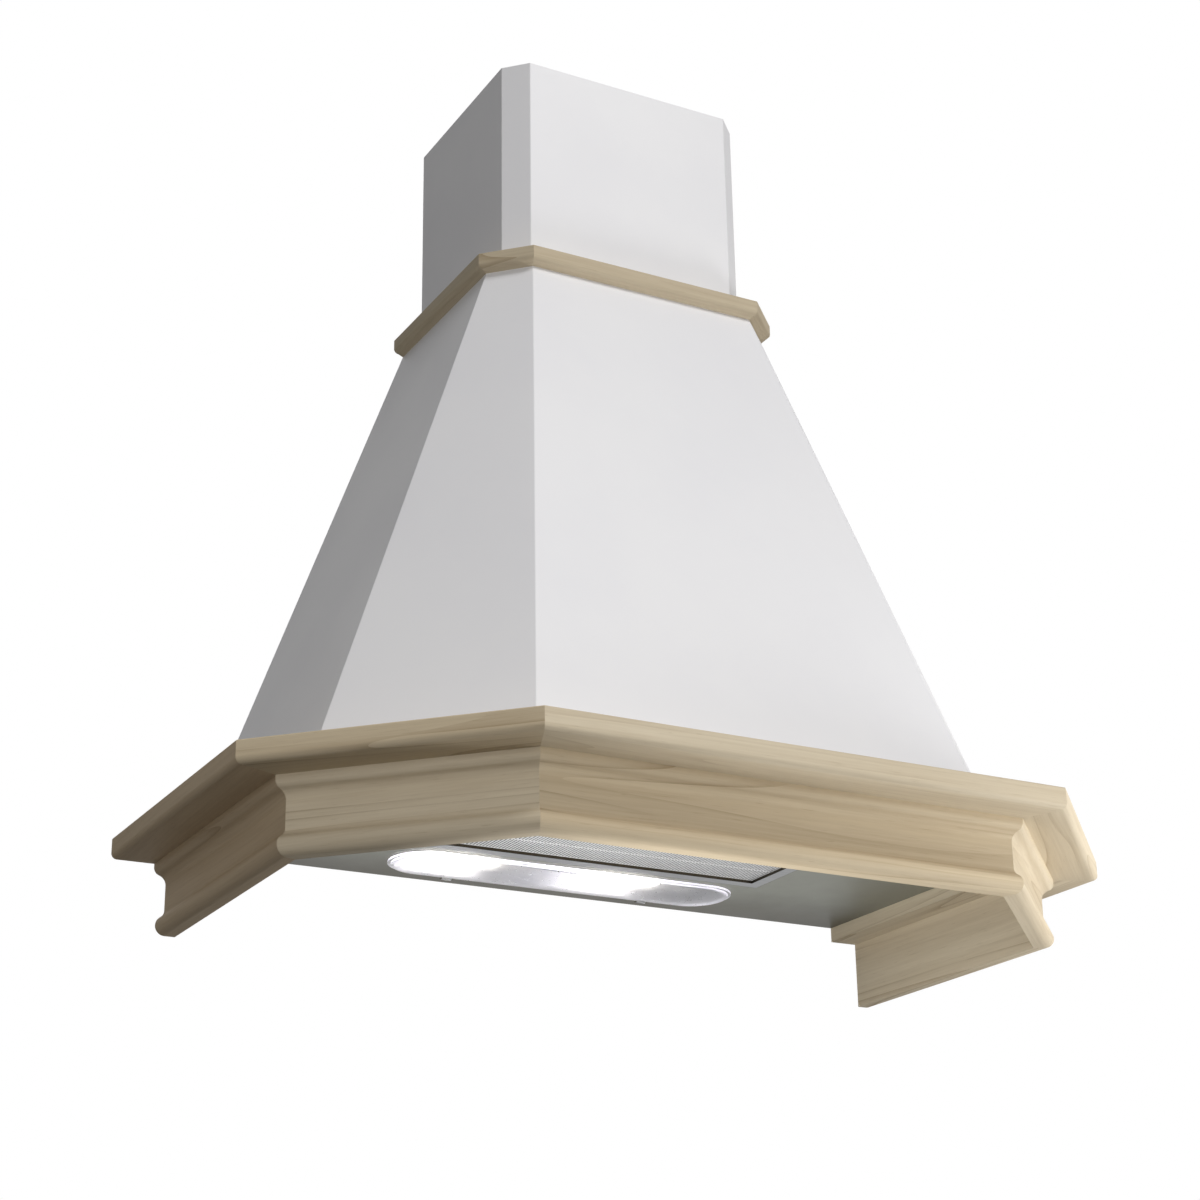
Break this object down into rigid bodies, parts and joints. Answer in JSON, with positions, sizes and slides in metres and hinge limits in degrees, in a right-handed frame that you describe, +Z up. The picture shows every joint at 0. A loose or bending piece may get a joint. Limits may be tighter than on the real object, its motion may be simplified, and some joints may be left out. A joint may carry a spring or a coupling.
{
  "type": "wall range hood with timber frame",
  "caption": "Wall-mounted cooker hood: white sheet-metal canopy and telescopic chimney on a moulded raw-timber cornice, with grease filter, lamps, blower and duct outlet.",
  "frame": {"origin": "midpoint of the two hanging holes, on the wall plane", "axes": "+X to the right when facing the hood, +Y into the wall, +Z up"},
  "size_m": [0.9, 0.52, 0.913],
  "materials": {
    "timber": "raw sanded",
    "dowel_wood": "raw",
    "enamel": "satin enamel",
    "panel_paint": "satin",
    "galvanised": "galvanised",
    "screw_steel": "zinc plated",
    "filter_aluminium": "satin",
    "filter_wool": "knitted wire",
    "latch_plastic": "matt",
    "clear_plastic": "clear",
    "reflector": "bright",
    "holder_ceramic": "glazed",
    "bulb_glass": "frosted",
    "panel_plastic": "matt",
    "dark_plastic": "matt",
    "wheel_plastic": "matt",
    "motor_paint": "matt",
    "brass": "plain"
  },
  "bodies": {
    "hood": {"board_side_left": "timber", "moulding_side_left": "timber", "collar_side_left": "timber", "board_corner_left": "timber", "moulding_corner_left": "timber", "collar_corner_left": "timber", "board_front": "timber", "moulding_front": "timber", "collar_front": "timber", "board_corner_right": "timber", "moulding_corner_right": "timber", "collar_corner_right": "timber", "board_side_right": "timber", "moulding_side_right": "timber", "collar_side_right": "timber", "frame_dowels": "dowel_wood", "frame_screws": "screw_steel", "collar_screws": "screw_steel", "canopy_shell": "enamel", "canopy_back_plate": "galvanised", "lower_chimney": "enamel", "chimney_screws": "screw_steel", "bottom_panel": "panel_paint", "cover_hinges": "screw_steel", "lamp_tray": "reflector", "lampholder_left": "holder_ceramic", "lampholder_right": "holder_ceramic", "bulb_left": "bulb_glass", "bulb_right": "bulb_glass", "control_plate": "panel_plastic", "switch_housing": "dark_plastic", "blower_housing_front": "dark_plastic", "blower_housing_rear": "dark_plastic", "blower_hangers": "galvanised", "blower_screws": "screw_steel", "inlet_grille": "dark_plastic", "motor": "motor_paint", "outlet_spigot": "dark_plastic", "flap_pin": "screw_steel", "control_box": "galvanised", "control_box_cover": "galvanised", "terminal_block": "holder_ceramic", "capacitor": "filter_aluminium", "cable_gland": "dark_plastic"},
    "upper_chimney": {"upper_chimney": "enamel", "chimney_bracket": "galvanised", "bracket_screws": "screw_steel"},
    "filter": {"filter_frame": "filter_aluminium", "filter_mesh": "filter_aluminium", "filter_core": "filter_wool", "latch_spring": "screw_steel"},
    "filter_latch": {"filter_latch": "latch_plastic"},
    "lamp_cover": {"lamp_cover": "clear_plastic"},
    "rotor": {"motor_shaft": "screw_steel", "impeller": "wheel_plastic", "impeller_nut": "brass"},
    "flap_left": {"flap_left": "wheel_plastic"},
    "flap_right": {"flap_right": "wheel_plastic"},
    "speed_slider": {"speed_slider": "dark_plastic"},
    "light_slider": {"light_slider": "dark_plastic"}
  },
  "joints": [
    {"name": "chimney_slide", "type": "slide", "parent": "hood", "child": "upper_chimney", "axis": [0, 0, 1], "range_m": [0, 0.19]},
    {"name": "filter_hinge", "type": "hinge", "parent": "hood", "child": "filter", "pos_m": [0, -0.115, -0.305], "axis": [1, 0, 0], "range_deg": [0, 80]},
    {"name": "latch_slide", "type": "slide", "parent": "filter", "child": "filter_latch", "axis": [0, 1, 0], "range_m": [0, 0.007], "stiffness_N_per_m": 300, "springref_m": -0.004, "deforming": ["latch_spring"]},
    {"name": "lamp_cover_hinge", "type": "hinge", "parent": "hood", "child": "lamp_cover", "pos_m": [-0.008, -0.0267, -0.3076], "axis": [1, 0, 0], "range_deg": [0, 75]},
    {"name": "motor_spin", "type": "hinge", "parent": "hood", "child": "rotor", "pos_m": [0.071, -0.11, -0.065], "axis": [0, 1, 0], "continuous": true},
    {"name": "flap_left_hinge", "type": "hinge", "parent": "hood", "child": "flap_left", "pos_m": [0, -0.10975, 0.12], "axis": [0, 1, 0], "range_deg": [0, 80]},
    {"name": "flap_right_hinge", "type": "hinge", "parent": "hood", "child": "flap_right", "pos_m": [0, -0.10975, 0.12], "axis": [0, -1, 0], "range_deg": [0, 80]},
    {"name": "speed_slide", "type": "slide", "parent": "hood", "child": "speed_slider", "axis": [1, 0, 0], "range_m": [0, 0.024]},
    {"name": "light_slide", "type": "slide", "parent": "hood", "child": "light_slider", "axis": [1, 0, 0], "range_m": [0, 0.01]}
  ]
}
